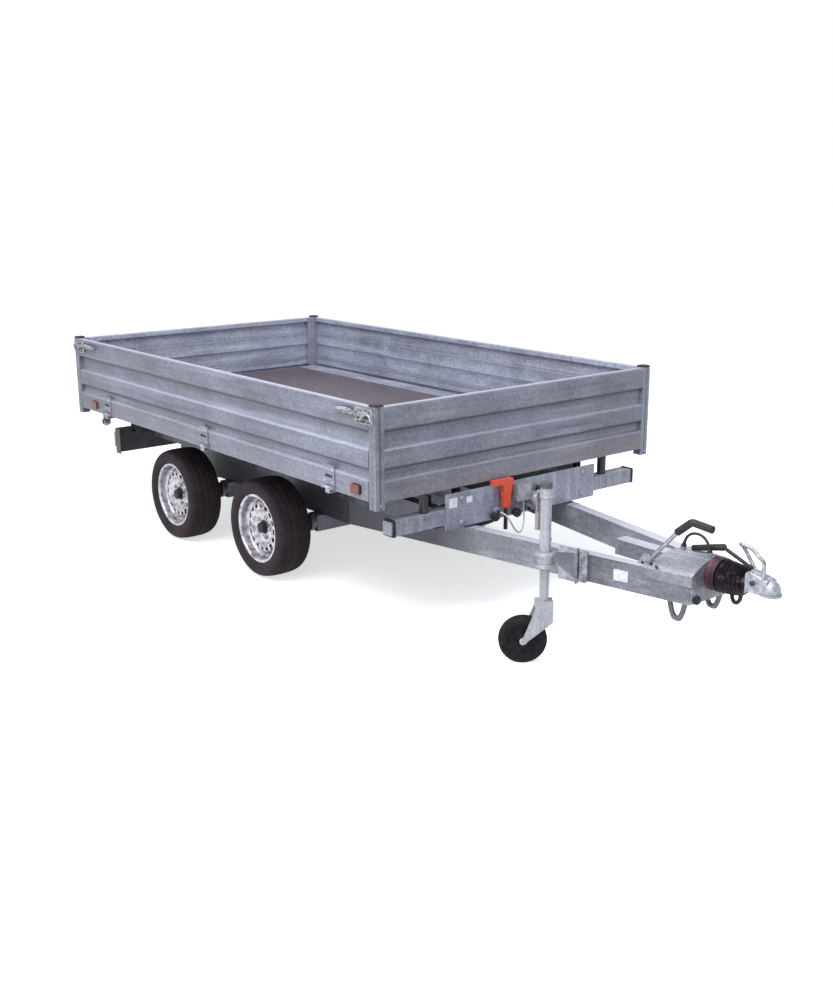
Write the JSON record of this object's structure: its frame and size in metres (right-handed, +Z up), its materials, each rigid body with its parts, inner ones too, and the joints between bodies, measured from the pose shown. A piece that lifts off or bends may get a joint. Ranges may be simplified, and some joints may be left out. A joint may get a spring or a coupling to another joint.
{
  "type": "tandem-axle tipping trailer with dropsides",
  "caption": "Galvanised tandem-axle tipping trailer: hollow dropside load bed on a rear pivot, telescopic lift cylinder, V drawbar with overrun ball coupling and jockey wheel.",
  "frame": {"origin": "ground level under the middle of the whole trailer's outline", "axes": "+X forwards to the coupling, +Y to the trailer's left, +Z up"},
  "size_m": [4.512, 1.816, 1.085],
  "materials": {
    "galvanised_steel": "hot-dip galvanised, spangled",
    "zinc_plated": "bright zinc plate",
    "cast_zinc": "cast and galvanised",
    "dark_steel": "dull dark plate",
    "grey_paint": "satin grey-green",
    "chrome_steel": "ground chrome",
    "silver_wheel": "silver paint",
    "tyre_rubber": "matt, slightly dusty",
    "solid_rubber": "matt",
    "black_rubber": "matt",
    "black_plastic": "matt",
    "brown_plywood": "phenolic film, satin",
    "orange_plastic": "glossy",
    "orange_lens": "glossy lens",
    "red_lens": "glossy lens"
  },
  "bodies": {
    "root": {"chassis_rails": "galvanised_steel", "drawbar_beam_right": "galvanised_steel", "drawbar_beam_left": "galvanised_steel", "cross_members": "galvanised_steel", "rear_cross_member": "galvanised_steel", "front_cross_member": "galvanised_steel", "arm_end_rings": "black_plastic", "bed_buffers": "black_rubber", "axle_front": "galvanised_steel", "axle_rear": "galvanised_steel", "jockey_tube": "zinc_plated", "overrun_housing": "galvanised_steel", "bellows": "black_rubber", "coupling_head": "cast_zinc", "coupling_handle": "zinc_plated", "coupling_bar": "black_plastic", "handbrake_lever": "zinc_plated", "handbrake_grip": "black_plastic", "housing_hood": "cast_zinc", "bellows_collar": "black_rubber", "coupling_lead": "black_rubber", "plate_lead": "black_rubber", "plate_hose": "black_rubber", "jockey_crank": "zinc_plated", "lamp_board": "dark_steel", "tail_lamps": "red_lens", "hydraulic_unit": "grey_paint", "valve_handle": "orange_plastic"},
    "bed": {"floor_panel": "brown_plywood", "bed_side_rails": "galvanised_steel", "bed_end_rails": "galvanised_steel", "bed_bearers": "galvanised_steel", "bed_beams": "galvanised_steel", "pivot_ears": "galvanised_steel", "corner_posts": "galvanised_steel", "post_caps": "black_plastic", "front_board": "galvanised_steel"},
    "tailgate": {"tailgate": "galvanised_steel"},
    "cylinder_barrel": {"cylinder_barrel": "grey_paint"},
    "cylinder_stage_1": {"cylinder_stage_1": "chrome_steel"},
    "cylinder_stage_2": {"cylinder_stage_2": "chrome_steel"},
    "cylinder_stage_3": {"cylinder_stage_3": "chrome_steel"},
    "cylinder_rod": {"cylinder_rod": "chrome_steel"},
    "jockey_leg": {"jockey_leg": "zinc_plated"},
    "jockey_fork": {"jockey_fork": "cast_zinc"},
    "jockey_wheel": {"jockey_wheel": "solid_rubber"},
    "side_board_right": {"side_board_right": "galvanised_steel", "side_latches_right": "zinc_plated", "marker_lamps_right": "orange_lens"},
    "wheel_front_right": {"tyre_front_right": "tyre_rubber", "wheel_front_right": "silver_wheel"},
    "wheel_rear_right": {"tyre_rear_right": "tyre_rubber", "wheel_rear_right": "silver_wheel"},
    "side_board_left": {"side_board_left": "galvanised_steel", "side_latches_left": "zinc_plated", "marker_lamps_left": "orange_lens"},
    "wheel_front_left": {"tyre_front_left": "tyre_rubber", "wheel_front_left": "silver_wheel"},
    "wheel_rear_left": {"tyre_rear_left": "tyre_rubber", "wheel_rear_left": "silver_wheel"}
  },
  "joints": [
    {"name": "bed_tip", "type": "hinge", "parent": "root", "child": "bed", "pos_m": [-2.134, 0, 0.56], "axis": [0, -1, 0], "range_deg": [0, 48]},
    {"name": "side_drop_right", "type": "hinge", "parent": "bed", "child": "side_board_right", "pos_m": [-0.704, -0.9, 0.66], "axis": [1, 0, 0], "range_deg": [0, 180]},
    {"name": "side_drop_left", "type": "hinge", "parent": "bed", "child": "side_board_left", "pos_m": [-0.704, 0.9, 0.66], "axis": [-1, 0, 0], "range_deg": [0, 180]},
    {"name": "tailgate_swing", "type": "hinge", "parent": "bed", "child": "tailgate", "pos_m": [-2.23, 0, 1.061], "axis": [0, 1, 0], "range_deg": [0, 90]},
    {"name": "cylinder_swing", "type": "hinge", "parent": "root", "child": "cylinder_barrel", "pos_m": [-0.824, 0, 0.47], "axis": [0, -1, 0], "range_deg": [0, 23.63]},
    {"name": "cylinder_slide_1", "type": "slide", "parent": "cylinder_barrel", "child": "cylinder_stage_1", "axis": [0, 0, 1], "range_m": [0, 0.26306]},
    {"name": "cylinder_slide_2", "type": "slide", "parent": "cylinder_stage_1", "child": "cylinder_stage_2", "axis": [0, 0, 1], "range_m": [0, 0.26306]},
    {"name": "cylinder_slide_3", "type": "slide", "parent": "cylinder_stage_2", "child": "cylinder_stage_3", "axis": [0, 0, 1], "range_m": [0, 0.26306]},
    {"name": "cylinder_slide_4", "type": "slide", "parent": "cylinder_stage_3", "child": "cylinder_rod", "axis": [0, 0, 1], "range_m": [0, 0.26306]},
    {"name": "wheel_spin_front_right", "type": "hinge", "parent": "root", "child": "wheel_front_right", "pos_m": [-0.37, -0.705, 0.26], "axis": [0, 1, 0], "continuous": true},
    {"name": "wheel_spin_front_left", "type": "hinge", "parent": "root", "child": "wheel_front_left", "pos_m": [-0.37, 0.705, 0.26], "axis": [0, 1, 0], "continuous": true},
    {"name": "wheel_spin_rear_right", "type": "hinge", "parent": "root", "child": "wheel_rear_right", "pos_m": [-1.271, -0.705, 0.26], "axis": [0, 1, 0], "continuous": true},
    {"name": "wheel_spin_rear_left", "type": "hinge", "parent": "root", "child": "wheel_rear_left", "pos_m": [-1.271, 0.705, 0.26], "axis": [0, 1, 0], "continuous": true},
    {"name": "jockey_wind", "type": "slide", "parent": "root", "child": "jockey_leg", "axis": [0, 0, 1], "range_m": [0, 0.15]},
    {"name": "jockey_swivel", "type": "hinge", "parent": "jockey_leg", "child": "jockey_fork", "pos_m": [1.406, -0.46, 0.25], "axis": [0, 0, 1], "continuous": true},
    {"name": "jockey_roll", "type": "hinge", "parent": "jockey_fork", "child": "jockey_wheel", "pos_m": [1.35062, -0.52839, 0.105], "axis": [-0.7771, 0.6293, 0], "continuous": true}
  ],
  "couplings": [
    {"joint": "cylinder_swing", "follows": "bed_tip", "ratio": 0.49199},
    {"joint": "cylinder_slide_1", "follows": "bed_tip", "m_per_rad": 0.31389},
    {"joint": "cylinder_slide_2", "follows": "bed_tip", "m_per_rad": 0.31389},
    {"joint": "cylinder_slide_3", "follows": "bed_tip", "m_per_rad": 0.31389},
    {"joint": "cylinder_slide_4", "follows": "bed_tip", "m_per_rad": 0.31389}
  ]
}
